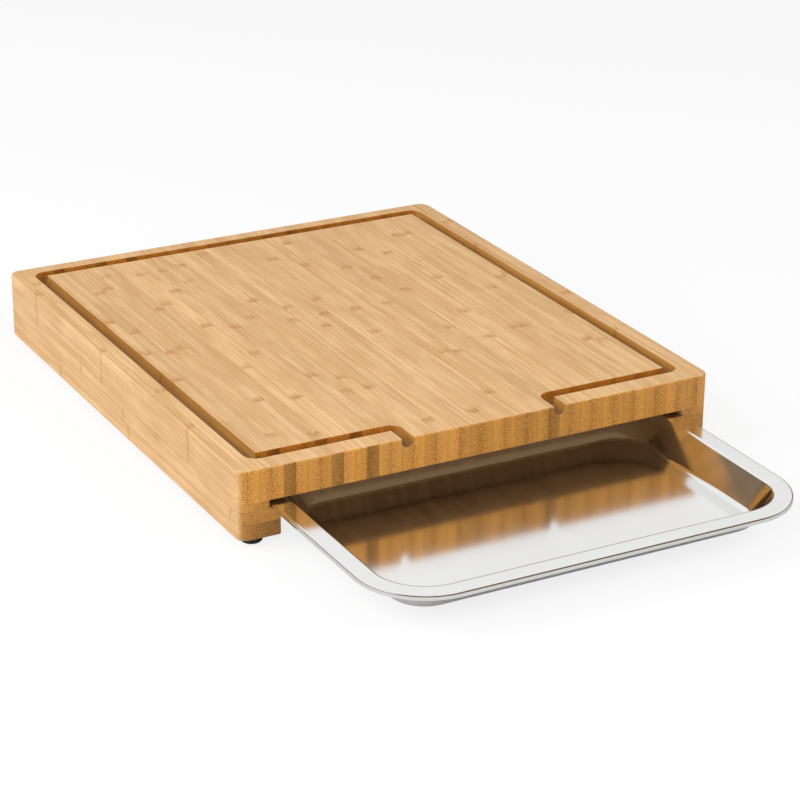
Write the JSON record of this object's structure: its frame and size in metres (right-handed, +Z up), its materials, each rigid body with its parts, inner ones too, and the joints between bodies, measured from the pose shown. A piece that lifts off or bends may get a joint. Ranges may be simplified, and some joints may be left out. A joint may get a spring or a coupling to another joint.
{
  "type": "cutting board with drawer trays",
  "caption": "Glued bamboo cutting board with a juice groove and front spouts, on side rails that carry pressed steel trays, which slide out of the front and out of the back.",
  "frame": {"origin": "centre of the board's cutting face", "axes": "+X to the right, +Y to the back, away from the tray that is pulled out, +Z up out of the cutting face"},
  "size_m": [0.343, 0.55, 0.0511],
  "materials": {
    "bamboo": "satin, lightly oiled",
    "bamboo_light": "satin, lightly oiled",
    "bamboo_dark": "satin, lightly oiled",
    "bamboo_rail": "satin, lightly oiled",
    "foot_rubber": "matt",
    "screw_steel": "zinc plated",
    "tray_steel": "satin stainless"
  },
  "bodies": {
    "board": {"stave_01": "bamboo", "stave_02": "bamboo_light", "stave_03": "bamboo", "stave_04": "bamboo", "stave_05": "bamboo_dark", "stave_06": "bamboo_light", "stave_07": "bamboo", "stave_08": "bamboo", "stave_09": "bamboo_dark", "stave_10": "bamboo_light", "stave_11": "bamboo_light", "stave_12": "bamboo_dark", "stave_13": "bamboo_light", "stave_14": "bamboo", "stave_15": "bamboo", "stave_16": "bamboo_light", "stave_17": "bamboo", "stave_18": "bamboo_light", "stave_19": "bamboo_light", "stave_20": "bamboo", "stave_21": "bamboo", "stave_22": "bamboo", "stave_23": "bamboo_light", "stave_24": "bamboo", "stave_25": "bamboo", "stave_26": "bamboo", "stave_27": "bamboo", "stave_28": "bamboo_dark", "stave_29": "bamboo", "stave_30": "bamboo", "stave_31": "bamboo_light", "stave_32": "bamboo", "stave_33": "bamboo_light", "stave_34": "bamboo", "stave_35": "bamboo", "stave_36": "bamboo_light", "stave_37": "bamboo", "stave_38": "bamboo", "stave_39": "bamboo_light", "stave_40": "bamboo", "stave_41": "bamboo", "stave_42": "bamboo_light", "spacer_left": "bamboo_rail", "spacer_right": "bamboo_rail", "upper_bar_left": "bamboo_rail", "upper_bar_right": "bamboo_rail", "lower_bar_left": "bamboo_rail", "lower_bar_right": "bamboo_rail", "foot_front_left": "foot_rubber", "foot_front_right": "foot_rubber", "foot_rear_left": "foot_rubber", "foot_rear_right": "foot_rubber", "foot_screws": "screw_steel"},
    "front_tray": {"tray_front": "tray_steel"},
    "rear_tray": {"tray_rear": "tray_steel"}
  },
  "joints": [
    {"name": "front_tray_slide", "type": "slide", "parent": "board", "child": "front_tray", "axis": [0, -1, 0], "range_m": [-0.15, 0.0545]},
    {"name": "rear_tray_slide", "type": "slide", "parent": "board", "child": "rear_tray", "axis": [0, 1, 0], "range_m": [0, 0.2045]}
  ]
}
